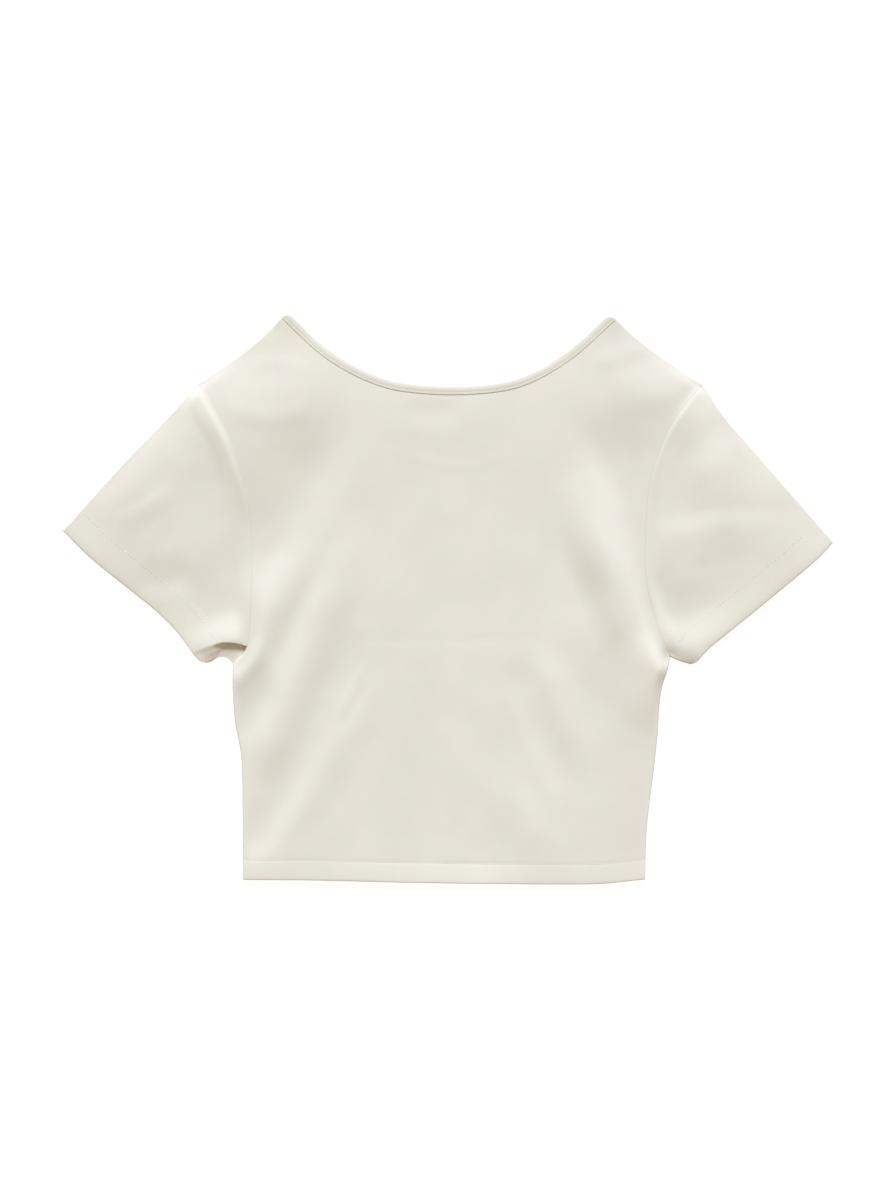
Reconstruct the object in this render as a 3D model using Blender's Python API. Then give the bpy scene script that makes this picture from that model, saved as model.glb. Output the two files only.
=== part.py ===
"""Crop top in smooth cotton jersey, laid out flat on a table with its back up.

Sizes are in millimetres and become metres where a mesh is made. +X is the wearer's right,
+Y runs from hem to neck, +Z is up, and the table is the plane Z = 0. The front panel lies on
the table, the back panel lies over it, and each sleeve is a flattened tube between the two.
"""

import math
from collections import namedtuple

import bmesh
import bpy
from mathutils import Vector

MM = 0.001

# Cloth and seams
WALL = 1.0
SEAM_GAP = 0.3
HEM_WALL = 2.0 * WALL
HEM_DEPTH = 16.0
SLEEVE_HEM_DEPTH = 22.0
TURN_STEP = 1.0

# Neck binding: a strip folded over the raw neck edge, in section a U lying on its side
BINDING_WIDTH = 7.4
BINDING_HEIGHT = 3.0 * WALL + 2.0 * SEAM_GAP
NECK_INSET = 2.4

# Two plain layers with the gap between them, and what each heavier place adds to that
FLAT_TOP = 2.0 * WALL + SEAM_GAP
LOFT = 2.0
HEM_RISE = 2.0 * (HEM_WALL - WALL)
NECK_LIFT = WALL + SEAM_GAP
NECK_RISE = 2.0 * NECK_LIFT

# How far from an edge each rise stays full, and over what width it fades
NECK_FULL = 9.9
LIFT_FADE = 13.0
RISE_FADE = 26.0
CROSSING_FADE = 20.0
HEM_FULL = 2.0
HEM_FADE = 14.0
EDGE_ROLL = 26.0
FOLD_MARGIN = 4.0
FOLD_FADE = 16.0

# Grid steps
HEM_ROWS = (0.0, 2.0, HEM_DEPTH, HEM_DEPTH + TURN_STEP, 20.0, 28.0)
SIDE_STEPS = 9
ARMHOLE_STEPS = 15
SLEEVE_HEM_ROWS = (28.0, SLEEVE_HEM_DEPTH + TURN_STEP, SLEEVE_HEM_DEPTH, 2.0, 0.0)
SLEEVE_STEPS = 7
SHOULDER_SHARES = (0.0, 0.04, 0.14, 0.32, 0.54, 0.76, 0.92, 1.0)
BACK_NECK_STEPS = 26
FRONT_NECK_STEPS = 16
NECK_ROW = 10.4

Mark = namedtuple("Mark", "x y")
Fold = namedtuple("Fold", "name start middle end half_width height")

# Landmarks of the flat garment. The left and right sides were laid down a little differently.
LEFT_NECK = Mark(-128.4, 227.8)
RIGHT_NECK = Mark(130.4, 226.8)
LEFT_TIP = Mark(-200.0, 173.2)
RIGHT_TIP = Mark(203.6, 172.4)
LEFT_UNDERARM = Mark(-172.4, -51.6)
RIGHT_UNDERARM = Mark(177.6, -46.0)
LEFT_HEM = Mark(-164.0, -224.2)
RIGHT_HEM = Mark(157.2, -224.0)
LEFT_SLEEVE_TIP = Mark(-308.6, 55.2)
RIGHT_SLEEVE_TIP = Mark(308.6, 46.0)
LEFT_SLEEVE_CORNER = Mark(-193.6, -50.8)
RIGHT_SLEEVE_CORNER = Mark(194.4, -52.0)

LEFT_SHOULDER = (LEFT_TIP, Mark(-168.5, 193.6), LEFT_NECK)
RIGHT_SHOULDER = (RIGHT_TIP, Mark(169.6, 195.4), RIGHT_NECK)
BACK_NECK = (LEFT_NECK, Mark(-110.4, 213.2), Mark(-86.4, 194.0), Mark(-62.4, 181.2),
             Mark(-36.0, 173.6), Mark(4.0, 170.4), Mark(42.0, 173.2), Mark(66.0, 180.6),
             Mark(89.6, 194.2), Mark(110.4, 211.2), RIGHT_NECK)
FRONT_NECK = (LEFT_NECK, Mark(-98.0, 176.0), Mark(-60.0, 126.0), Mark(4.0, 106.0),
              Mark(66.0, 126.0), Mark(101.0, 176.0), RIGHT_NECK)
BOTTOM_HEM = (LEFT_HEM, Mark(-110.0, -224.6), Mark(-36.0, -226.2), Mark(44.0, -227.4),
              Mark(116.0, -227.6), RIGHT_HEM)
LEFT_SIDE = (LEFT_HEM, Mark(-164.4, -166.8), Mark(-165.6, -125.2), Mark(-170.4, -98.0),
             Mark(-172.4, -72.0), LEFT_UNDERARM)
RIGHT_SIDE = (RIGHT_HEM, Mark(158.4, -190.0), Mark(163.2, -138.0), Mark(168.2, -102.0),
              Mark(171.2, -72.0), RIGHT_UNDERARM)
LEFT_ARMHOLE = (LEFT_UNDERARM, Mark(-160.4, -36.0), Mark(-157.6, 0.0), Mark(-156.8, 40.0),
                Mark(-160.4, 78.0), Mark(-175.6, 126.0), LEFT_TIP)
RIGHT_ARMHOLE = (RIGHT_UNDERARM, Mark(166.4, -18.0), Mark(158.6, 15.0), Mark(157.8, 50.0),
                 Mark(162.0, 94.0), Mark(177.6, 138.0), RIGHT_TIP)
LEFT_SLEEVE_FOLD = (LEFT_TIP, Mark(-226.4, 143.6), Mark(-257.6, 111.6), LEFT_SLEEVE_TIP)
RIGHT_SLEEVE_FOLD = (RIGHT_TIP, Mark(222.4, 145.0), Mark(251.6, 111.6), RIGHT_SLEEVE_TIP)
LEFT_SLEEVE_HEM = (LEFT_SLEEVE_TIP, Mark(-284.0, 31.6), Mark(-244.0, -0.4), Mark(-213.0, -31.6),
                   Mark(-202.8, -45.2), LEFT_SLEEVE_CORNER)
RIGHT_SLEEVE_HEM = (RIGHT_SLEEVE_TIP, Mark(294.4, 31.6), Mark(256.0, -0.4), Mark(216.0, -32.4),
                    RIGHT_SLEEVE_CORNER)
LEFT_SLEEVE_SEAM = (LEFT_UNDERARM, Mark(-181.6, -46.4), LEFT_SLEEVE_CORNER)
RIGHT_SLEEVE_SEAM = (RIGHT_UNDERARM, Mark(186.4, -49.6), RIGHT_SLEEVE_CORNER)

# The largest folds of the upper layer. A negative height is a trough.
FOLDS = (
    Fold("left shoulder swell", Mark(-186, 153), Mark(-150, 148), Mark(-112, 141), 34.0, 1.5),
    Fold("right shoulder swell", Mark(100, 158), Mark(150, 165), Mark(206, 157), 34.0, 1.5),
    Fold("left armhole trough", Mark(-104, 112), Mark(-132, 68), Mark(-152, 14), 20.0, -1.8),
    Fold("left underarm ridge", Mark(-116, 56), Mark(-136, 0), Mark(-162, -44), 18.0, 2.4),
    Fold("left waist trough", Mark(-106, 44), Mark(-130, -44), Mark(-160, -100), 16.0, -1.6),
    Fold("left waist ridge", Mark(-72, 80), Mark(-100, -30), Mark(-150, -130), 20.0, 2.0),
    Fold("left hip trough", Mark(-78, -30), Mark(-112, -118), Mark(-152, -186), 16.0, -1.2),
    Fold("left hem ridge", Mark(-50, -76), Mark(-92, -138), Mark(-138, -200), 15.0, 1.0),
    Fold("right armhole trough", Mark(112, 140), Mark(140, 86), Mark(154, 20), 18.0, -1.4),
    Fold("right side ridge", Mark(96, 116), Mark(126, 24), Mark(172, -62), 22.0, 3.2),
    Fold("right hip ridge", Mark(80, -20), Mark(93, -90), Mark(114, -160), 15.0, 0.9),
    Fold("right hip trough", Mark(48, -58), Mark(74, -118), Mark(104, -178), 15.0, -0.9),
    Fold("right hem ridge", Mark(40, -118), Mark(60, -168), Mark(84, -198), 14.0, 0.8),
    Fold("right waist trough", Mark(126, -80), Mark(146, -112), Mark(168, -126), 24.0, -1.0),
    Fold("left sleeve trough", Mark(-256, 18), Mark(-215, -2), Mark(-160, -2), 24.0, -1.5),
    Fold("left sleeve ridge", Mark(-280, 72), Mark(-220, 52), Mark(-160, 52), 20.0, 0.7),
    Fold("right sleeve ridge", Mark(160, 50), Mark(216, 62), Mark(290, 57), 18.0, 0.9),
    Fold("right sleeve trough", Mark(160, 2), Mark(206, -4), Mark(250, 42), 20.0, -1.2),
)


class Line:
    """A smooth line through a few marks, read by the share of its length."""

    STEPS = 16

    def __init__(self, marks):
        points = [Vector((mark.x, mark.y)) for mark in marks]
        before = 2 * points[0] - points[1]
        after = 2 * points[-1] - points[-2]
        guide = [before] + points + [after]
        self.points = [points[0]]
        for span in range(len(points) - 1):
            for step in range(1, self.STEPS + 1):
                self.points.append(self.between(guide[span:span + 4], step / self.STEPS))
        self.reach = [0.0]
        for first, second in zip(self.points, self.points[1:]):
            self.reach.append(self.reach[-1] + (second - first).length)
        self.length = self.reach[-1]

    @staticmethod
    def between(guide, part):
        """A Catmull-Rom span: it passes through guide[1] and guide[2]."""
        a, b, c, d = guide
        return 0.5 * (2 * b + (c - a) * part + (2 * a - 5 * b + 4 * c - d) * part ** 2
                      + (3 * b - a - 3 * c + d) * part ** 3)

    def at(self, share):
        goal = min(max(share, 0.0), 1.0) * self.length
        for index in range(1, len(self.reach)):
            if self.reach[index] >= goal:
                break
        span = self.reach[index] - self.reach[index - 1]
        part = (goal - self.reach[index - 1]) / span
        return self.points[index - 1].lerp(self.points[index], part)

    def left_of(self, share):
        """The unit direction to the left of the line as it is walked."""
        step = 0.004
        along = (self.at(share + step) - self.at(share - step)).normalized()
        return Vector((-along.y, along.x))

    def distance(self, point):
        return min(near_span(point, first, second)
                   for first, second in zip(self.points[::4], self.points[4::4]))


def near_span(point, first, second):
    span = second - first
    part = (point - first).dot(span) / span.length_squared
    return (point - first - span * min(max(part, 0.0), 1.0)).length


def ease(part):
    part = min(max(part, 0.0), 1.0)
    return part * part * (3.0 - 2.0 * part)


def larger(first, second):
    """The larger of two heights, with a soft change from one to the other."""
    return (first ** 4 + second ** 4) ** 0.25


back_neck = Line(BACK_NECK)
front_neck = Line(FRONT_NECK)
left_shoulder = Line(LEFT_SHOULDER)
right_shoulder = Line(RIGHT_SHOULDER)
bottom_hem = Line(BOTTOM_HEM)
sleeve_hems = (Line(LEFT_SLEEVE_HEM), Line(RIGHT_SLEEVE_HEM))
rolled_edges = [Line(marks) for marks in (
    BACK_NECK, LEFT_SHOULDER, RIGHT_SHOULDER, LEFT_SIDE, RIGHT_SIDE, BOTTOM_HEM,
    LEFT_SLEEVE_FOLD, RIGHT_SLEEVE_FOLD, LEFT_SLEEVE_HEM, RIGHT_SLEEVE_HEM,
    LEFT_SLEEVE_SEAM, RIGHT_SLEEVE_SEAM)]
fold_lines = [(fold, Line((fold.start, fold.middle, fold.end))) for fold in FOLDS]


def fold_height(point):
    """The sum of the soft ridges and troughs that reach a point."""
    height = 0.0
    for fold, line in fold_lines:
        away = line.distance(point)
        if away < fold.half_width:
            along = min(steps_to(12), key=lambda share: (line.at(share) - point).length)
            from_end = min(along, 1.0 - along)
            height += fold.height * ease(0.15 + 3.0 * from_end) * (1.0 - ease(away / fold.half_width))
    return height


def neck_rise(point):
    """How far the front neck binding, and the back one where they cross, lift the back."""
    over_front = 1.0 - ease((front_neck.distance(point) - NECK_FULL) / RISE_FADE)
    over_back = 1.0 - ease((back_neck.distance(point) - NECK_FULL) / CROSSING_FADE)
    return over_front * (NECK_RISE + NECK_LIFT * over_back)


def hem_rise(point):
    """How far the doubled hems lift the upper layer's face."""
    past_hems = [bottom_hem.distance(point) - HEM_DEPTH]
    past_hems += [hem.distance(point) - SLEEVE_HEM_DEPTH for hem in sleeve_hems]
    return HEM_RISE * (1.0 - ease((min(past_hems) - HEM_FULL) / HEM_FADE))


def rise(point):
    """Height of the upper layer's face over two plain flat layers."""
    edge = min(line.distance(point) for line in rolled_edges)
    loft = LOFT * ease(edge / EDGE_ROLL)
    height = larger(larger(loft, hem_rise(point)), neck_rise(point))
    free = ease((edge - FOLD_MARGIN) / FOLD_FADE) * (1.0 - hem_rise(point) / HEM_RISE)
    free *= 1.0 - ease(neck_rise(point) / NECK_RISE)
    return max(height + free * fold_height(point), 0.0)


def bend_to_four_sides(bottom, top, left, right, across, up):
    """Coons patch: the point inside four edges, from the points straight out on each."""
    corners = (bottom[0].lerp(bottom[2], across)).lerp(top[0].lerp(top[2], across), up)
    return bottom[1].lerp(top[1], up) + left.lerp(right, across) - corners


def steps_to(count):
    return [step / count for step in range(count + 1)]


def armhole_shares():
    """Steps up the armhole, closer together towards the shoulder."""
    return [1.0 - (1.0 - share) ** 1.3 for share in steps_to(ARMHOLE_STEPS)]


def new_material(name, colour):
    material = bpy.data.materials.new(name)
    material.use_nodes = True
    shader = material.node_tree.nodes["Principled BSDF"]
    shader.inputs["Base Color"].default_value = (*colour, 1.0)
    shader.inputs["Roughness"].default_value = 0.92
    shader.inputs["Metallic"].default_value = 0.0
    material.diffuse_color = (*colour, 1.0)
    return material


def cloth_wall(name, columns, rows, face_point, lining_point, colour, tube=False):
    """A closed wall of cloth: a grid placed by face_point, and its copy by lining_point."""
    mesh_maker = bmesh.new()
    bmesh.ops.create_grid(mesh_maker, x_segments=columns, y_segments=rows, size=0.5)
    place = mesh_maker.verts.layers.float_vector.new("place")
    for vert in mesh_maker.verts:
        column = round((vert.co.x + 0.5) * columns)
        row = round((vert.co.y + 0.5) * rows)
        vert[place] = (column % columns if tube else column, row, 0)
        vert.co = face_point(int(vert[place].x), row) * MM
    if tube:
        bmesh.ops.remove_doubles(mesh_maker, verts=mesh_maker.verts, dist=0.00001)
    copy = bmesh.ops.extrude_face_region(mesh_maker, geom=mesh_maker.faces[:])
    for vert in copy["geom"]:
        if isinstance(vert, bmesh.types.BMVert):
            vert.co = lining_point(int(vert[place].x), int(vert[place].y)) * MM
    bmesh.ops.recalc_face_normals(mesh_maker, faces=mesh_maker.faces)
    mesh = bpy.data.meshes.new(name)
    mesh_maker.to_mesh(mesh)
    mesh_maker.free()
    mesh.materials.append(new_material(name, colour))
    piece = bpy.data.objects.new(name, mesh)
    bpy.context.collection.objects.link(piece)
    mesh.shade_smooth()
    mesh.set_sharp_from_angle(angle=math.radians(40.0))
    return piece


def neck_inward(neck, share):
    """Direction from the neck edge into the cloth. At each end it follows the shoulder."""
    if share == 0.0:
        return (left_shoulder.at(0.9) - neck.at(0.0)).normalized()
    if share == 1.0:
        return (right_shoulder.at(0.9) - neck.at(1.0)).normalized()
    return -neck.left_of(share)


def side_edge(side, armhole):
    """Points up one side of a panel: the hem rows, the side seam, then the armhole."""
    seam = Line(side)
    over = Line(armhole)
    start = HEM_ROWS[-1] / seam.length
    points = [seam.at(up / seam.length) for up in HEM_ROWS]
    points += [seam.at(start + (1.0 - start) * share) for share in steps_to(SIDE_STEPS)[1:]]
    return points + [over.at(share) for share in armhole_shares()[1:]]


class Panel:
    """Plan of the back or front: columns run from hem to shoulder or neck, rows across."""

    def __init__(self, neck, neck_steps):
        self.neck = neck
        self.neck_steps = neck_steps
        self.corner = len(SHOULDER_SHARES) - 1
        self.columns = 2 * self.corner + neck_steps
        self.left = side_edge(LEFT_SIDE, LEFT_ARMHOLE)
        self.right = side_edge(RIGHT_SIDE, RIGHT_ARMHOLE)
        self.rows = len(self.left) - 1
        self.top = self.top_edge()
        reach = self.top[-1].x - self.top[0].x
        self.across = [(point.x - self.top[0].x) / reach for point in self.top]
        self.hem = [bottom_hem.at(across) for across in self.across]

    def top_edge(self):
        neck = [self.neck.at(share) + neck_inward(self.neck, share) * NECK_INSET
                for share in steps_to(self.neck_steps)]
        left = Line(LEFT_SHOULDER[:-1] + (Mark(*neck[0]),))
        right = Line(RIGHT_SHOULDER[:-1] + (Mark(*neck[-1]),))
        rising = [left.at(share) for share in SHOULDER_SHARES[:-1]]
        falling = [right.at(share) for share in reversed(SHOULDER_SHARES[:-1])]
        return rising + neck + falling

    def over_hem(self, column, up):
        """The point at a distance from the hem, leaning with the side seams."""
        last = len(HEM_ROWS) - 1
        goal = self.left[last].lerp(self.right[last], self.across[column])
        lean = (goal.x - self.hem[column].x) * up / HEM_ROWS[last]
        return self.hem[column] + Vector((lean, up))

    def below_neck(self, column):
        """The row just clear of the binding's lip."""
        step = column - self.corner
        if 0 < step < self.neck_steps:
            share = step / self.neck_steps
            return self.neck.at(share) + neck_inward(self.neck, share) * NECK_ROW
        return self.top[column] - Vector((0.0, NECK_ROW - NECK_INSET))

    def plan(self, column, row):
        """Rows keep their distance from the hem, then spread out up to the top edge."""
        if row < len(HEM_ROWS):
            return self.over_hem(column, HEM_ROWS[row])
        if row == self.rows:
            return self.top[column]
        if self.bound(column, row):
            return self.below_neck(column)
        bottom = [self.over_hem(place, HEM_ROWS[-1]) for place in (0, column, self.columns)]
        top = [self.top[0], self.top[column], self.top[-1]]
        up = (self.left[row].y - bottom[0].y) / (top[0].y - bottom[0].y)
        return bend_to_four_sides(bottom, top, self.left[row], self.right[row],
                                  self.across[column], up)

    def bound(self, column, row):
        """Whether a point lies in or beside the neck binding."""
        near_neck = self.corner - 1 <= column <= self.columns - self.corner + 1
        return near_neck and row >= self.rows - 1

    def neck_edge(self, column):
        """The neck's outer edge at a column, where the binding sets the height."""
        step = min(max(column - self.corner, 0), self.neck_steps)
        return self.neck.at(step / self.neck_steps)


def hem_wall(row):
    return HEM_WALL if row <= HEM_ROWS.index(HEM_DEPTH) else WALL


def back_panel():
    panel = Panel(back_neck, BACK_NECK_STEPS)

    def height(column, row):
        if panel.bound(column, row):
            return FLAT_TOP + rise(panel.neck_edge(column))
        return FLAT_TOP + rise(panel.plan(column, row))

    def outside(column, row):
        return Vector((*panel.plan(column, row), height(column, row)))

    def inside(column, row):
        return outside(column, row) - Vector((0.0, 0.0, hem_wall(row)))

    cloth_wall("back_panel", panel.columns, panel.rows, outside, inside, (0.80, 0.76, 0.69))


def front_panel():
    panel = Panel(front_neck, FRONT_NECK_STEPS)

    def outside(column, row):
        point = panel.plan(column, row)
        past_binding = 0.0 if panel.bound(column, row) else front_neck.distance(point) - NECK_FULL
        return Vector((*point, NECK_LIFT * (1.0 - ease(past_binding / LIFT_FADE))))

    def inside(column, row):
        return outside(column, row) + Vector((0.0, 0.0, hem_wall(row)))

    cloth_wall("front_panel", panel.columns, panel.rows, outside, inside, (0.76, 0.73, 0.66))


def binding(name, neck, steps, lift_at, colour):
    """The strip's outer face runs under the edge, round it and back over the top."""
    middle = BINDING_HEIGHT / 2.0
    slot = middle - WALL
    bends = (-90.0, -45.0, 0.0, 45.0, 90.0)

    def section(radius, column):
        if column == 0:
            return BINDING_WIDTH, middle - radius
        if column == len(bends) + 1:
            return BINDING_WIDTH, middle + radius
        turn = math.radians(bends[column - 1])
        return middle - radius * math.cos(turn), middle + radius * math.sin(turn)

    def place(radius, column, row):
        share = row / steps
        depth, height = section(radius, column)
        point = neck.at(share) + neck_inward(neck, share) * depth
        return Vector((*point, height + lift_at(neck.at(share))))

    cloth_wall(name, len(bends) + 1, steps, lambda column, row: place(middle, column, row),
               lambda column, row: place(slot, column, row), colour)


def sleeve(name, armhole, fold, hem, seam, outward, colour):
    """A tube pressed flat: upper layer from fold to underarm, lower layer back again."""
    armhole_line = Line(armhole)
    fold_line = Line(fold)
    hem_line = Line(hem)
    seam_line = Line(seam)
    shares = [1.0 - share for share in reversed(armhole_shares())][1:-1]
    layer = len(shares) + 2
    columns = 2 * (layer + 1)
    rows = SLEEVE_STEPS + len(SLEEVE_HEM_ROWS) - 1

    def armhole_at(down):
        share = 1.0 - down
        return armhole_line.at(share) + armhole_line.left_of(share) * outward * SEAM_GAP

    def plan(down, row):
        """Rows keep their distance from the hem, drawn closer at the short underarm."""
        length = (1.0 - down) * fold_line.length + down * seam_line.length
        squeeze = min(1.0, 0.8 * length / SLEEVE_HEM_ROWS[0])
        if row >= SLEEVE_STEPS:
            out = 1.0 - SLEEVE_HEM_ROWS[row - SLEEVE_STEPS] * squeeze / length
        else:
            out = (1.0 - SLEEVE_HEM_ROWS[0] * squeeze / length) * row / SLEEVE_STEPS
        inner = [armhole_at(0.0), armhole_at(down), armhole_at(1.0)]
        outer = [hem_line.at(0.0), hem_line.at(down), hem_line.at(1.0)]
        upper = fold_line.at(out) + (inner[0] - fold_line.at(0.0)) * (1.0 - out)
        lower = seam_line.at(out) + (inner[2] - seam_line.at(0.0)) * (1.0 - out)
        return bend_to_four_sides(inner, outer, upper, lower, down, out)

    def wall_at(row):
        return HEM_WALL if row >= rows - 2 else WALL

    def ring(column, row, inset, tuck, top_drop, floor):
        """One point of the ring; tuck is how far in the layers start from the fold."""
        upper = column <= layer
        place = column if upper else columns - column
        across = (plan(0.0, row) - plan(1.0, row)).length
        if place == 0 or place == layer + 1:
            down = inset / across if place == 0 else 1.0 - inset / across
            edge = plan(down, row)
            return Vector((*edge, (FLAT_TOP + rise(edge)) / 2.0))
        down = tuck / across if place == 1 else 1.0 - tuck / across
        if 1 < place < layer:
            down = shares[place - 2]
        point = plan(down, row)
        if upper:
            return Vector((*point, FLAT_TOP + rise(point) - top_drop))
        return Vector((*point, floor))

    def outside(column, row):
        return ring(column, row, 0.0, FLAT_TOP / 2.0, 0.0, 0.0)

    def inside(column, row):
        wall = wall_at(row)
        return ring(column, row, wall, wall + SEAM_GAP, wall, wall)

    cloth_wall(name, columns, rows, outside, inside, colour, tube=True)


for old in list(bpy.data.objects):
    bpy.data.objects.remove(old)

front_panel()
back_panel()
sleeve("sleeve_left", LEFT_ARMHOLE, LEFT_SLEEVE_FOLD, LEFT_SLEEVE_HEM, LEFT_SLEEVE_SEAM, 1.0,
       (0.78, 0.74, 0.67))
sleeve("sleeve_right", RIGHT_ARMHOLE, RIGHT_SLEEVE_FOLD, RIGHT_SLEEVE_HEM, RIGHT_SLEEVE_SEAM,
       -1.0, (0.78, 0.74, 0.67))
binding("neck_binding_back", back_neck, BACK_NECK_STEPS, rise, (0.82, 0.78, 0.71))
binding("neck_binding_front", front_neck, FRONT_NECK_STEPS, lambda point: 0.0,
        (0.80, 0.76, 0.69))
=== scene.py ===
import math
from collections import namedtuple

import bmesh
import bpy
import numpy as np
from mathutils import Matrix, Vector


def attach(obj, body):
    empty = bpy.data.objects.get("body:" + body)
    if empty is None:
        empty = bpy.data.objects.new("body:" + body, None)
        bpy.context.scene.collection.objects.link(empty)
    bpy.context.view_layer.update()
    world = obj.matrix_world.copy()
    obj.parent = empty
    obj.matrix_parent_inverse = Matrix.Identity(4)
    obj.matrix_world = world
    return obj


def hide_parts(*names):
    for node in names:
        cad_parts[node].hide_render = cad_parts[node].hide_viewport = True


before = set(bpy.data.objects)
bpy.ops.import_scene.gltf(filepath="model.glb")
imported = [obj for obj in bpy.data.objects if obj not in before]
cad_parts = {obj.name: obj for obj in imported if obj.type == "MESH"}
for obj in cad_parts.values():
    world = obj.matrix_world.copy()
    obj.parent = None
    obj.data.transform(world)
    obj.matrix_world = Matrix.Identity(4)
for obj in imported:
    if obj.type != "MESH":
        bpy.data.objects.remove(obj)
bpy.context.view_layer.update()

# ------------------------------------------------------------------------------------------
# Front panel. It is cut in one from smooth cream cotton jersey and lies face down on the
# table. Overlocked shoulder and side seams join it to the back, and its hem is turned up
# inside and stitched. Lengths here and below are in millimetres, from the frame's origin.
# ------------------------------------------------------------------------------------------

MM = 0.001
WALL = 0.6
LAYER_GAP = 0.1
FOLD_RADIUS = WALL + LAYER_GAP / 2.0
SEAM_HALF = 0.02
EDGE_RADIUS = 1.0
NECK_INSET = 2.4
TIP_ROUND = 7.0

LEFT_NECK = (-128.6, 231.0)
RIGHT_NECK = (129.8, 229.4)
LEFT_TIP = (-200.0, 173.2)
RIGHT_TIP = (203.6, 172.4)
LEFT_UNDERARM = (-172.4, -51.6)
RIGHT_UNDERARM = (177.8, -46.0)
LEFT_HEM = (-164.0, -224.2)
RIGHT_HEM = (157.8, -224.0)

HEM_LINE = 16.0
HEM_DEPTH = 17.2
HEM_ROWS = (FOLD_RADIUS, 1.4, 2.2, 3.2, 4.8, 7.0, 9.4, 11.6, 13.2, 14.2, 14.8, 15.4, HEM_LINE,
            16.6, HEM_DEPTH, 17.8, 18.8, 20.4, 22.6)
EDGE_ROWS = (0.0, 0.12, 0.4, 0.9, 1.6, 2.6, 3.9, 5.6, 7.6, 10.0)
STEP = 2.8
SIDE_STEPS = 54
ARMHOLE_STEPS = 77


def reach_along(points):
    """How far along a run of points each of them lies."""
    spans = np.linalg.norm(np.diff(points, axis=0), axis=1)
    return np.concatenate(([0.0], np.cumsum(spans)))


def points_at(stops, reach, points):
    """The places on a run of points that lie at the stops along it."""
    return np.stack([np.interp(stops, reach, axis) for axis in points.T], axis=-1)


class Line:
    """A smooth line through a few marks, read by the share of its length."""

    STEPS = 16

    def __init__(self, *marks):
        marks = np.array(marks, float)
        guide = np.vstack((2 * marks[0] - marks[1], marks, 2 * marks[-1] - marks[-2]))
        part = np.linspace(0.0, 1.0, self.STEPS + 1)[1:, None]
        runs = [marks[:1]]
        for a, b, c, d in zip(guide, guide[1:], guide[2:], guide[3:]):
            runs.append(0.5 * (2 * b + (c - a) * part + (2 * a - 5 * b + 4 * c - d) * part ** 2
                               + (3 * b - a - 3 * c + d) * part ** 3))
        self.points = np.vstack(runs)
        self.reach = reach_along(self.points)
        self.length = self.reach[-1]

    def at(self, share):
        return points_at(np.clip(share, 0.0, 1.0) * self.length, self.reach, self.points)

    def left_of(self, share):
        """The unit direction to the left of the line as it is walked."""
        step = 1.0 / self.length
        along = unit(self.at(share + step) - self.at(share - step))
        return np.stack((-along[..., 1], along[..., 0]), axis=-1)

    def nearest(self, place):
        """Distance from the line, the side (1 left, -1 right) and the share of it reached."""
        away = np.full(place.shape[:-1], 1e9)
        side = np.ones(place.shape[:-1])
        share = np.zeros(place.shape[:-1])
        for index in range(0, len(self.points) - 1, 2):
            span = self.points[index + 2] - self.points[index]
            part = np.clip((place - self.points[index]) @ span / (span @ span), 0.0, 1.0)
            off = place - self.points[index] - part[..., None] * span
            gap = np.hypot(off[..., 0], off[..., 1])
            closer = gap < away
            away = np.where(closer, gap, away)
            turn = np.where(span[0] * off[..., 1] >= span[1] * off[..., 0], 1.0, -1.0)
            side = np.where(closer, turn, side)
            reach = self.reach[index] + (self.reach[index + 2] - self.reach[index]) * part
            share = np.where(closer, reach / self.length, share)
        return away, side, share

    def distance(self, place):
        return self.nearest(place)[0]


def unit(vectors):
    return vectors / np.maximum(np.linalg.norm(vectors, axis=-1, keepdims=True), 1e-9)


def ease(part):
    part = np.clip(part, 0.0, 1.0)
    return part * part * (3.0 - 2.0 * part)


def even_steps(start, end, count):
    """Even steps from start to end, without the first."""
    return np.linspace(start, end, count + 1)[1:]


left_shoulder = Line(LEFT_TIP, (-177.6, 188.0), (-161.6, 199.6), (-145.6, 213.2), LEFT_NECK)
right_shoulder = Line(RIGHT_TIP, (193.6, 178.8), (177.6, 189.8), (161.6, 201.2), (145.6, 214.0),
                      RIGHT_NECK)
front_neck = Line(LEFT_NECK, (-98.0, 176.0), (-60.0, 126.0), (4.0, 106.0), (66.0, 126.0),
                  (101.0, 176.0), RIGHT_NECK)
bottom_hem = Line(LEFT_HEM, (-110.0, -224.6), (-36.0, -226.2), (44.0, -227.4), (116.0, -227.6),
                  RIGHT_HEM)
left_side = Line(LEFT_HEM, (-164.4, -166.8), (-165.6, -125.2), (-170.4, -98.0), (-172.4, -72.0),
                 LEFT_UNDERARM)
right_side = Line(RIGHT_HEM, (158.8, -190.0), (161.6, -160.0), (164.8, -136.0), (167.8, -108.0),
                  (169.2, -86.0), (171.4, -69.6), (175.6, -57.2), RIGHT_UNDERARM)
left_armhole = Line(LEFT_UNDERARM, (-160.4, -36.0), (-157.6, 0.0), (-156.8, 40.0),
                    (-160.4, 78.0), (-175.6, 126.0), LEFT_TIP)
right_armhole = Line(RIGHT_UNDERARM, (166.4, -18.0), (158.6, 15.0), (157.8, 50.0), (162.0, 94.0),
                     (177.6, 138.0), RIGHT_TIP)


def neck_inward(neck, share):
    """Direction from the neck's edge into the cloth, turning to the shoulder at each end."""
    from_end = np.minimum(share, 1.0 - share) * neck.length
    blend = ease(from_end / 12.0)[..., None]
    start = unit(left_shoulder.at(0.9) - neck.at(0.0))
    end = unit(right_shoulder.at(0.9) - neck.at(1.0))
    at_end = np.where(np.asarray(share)[..., None] < 0.5, start, end)
    return unit(at_end * (1.0 - blend) - neck.left_of(share) * blend)


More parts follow.
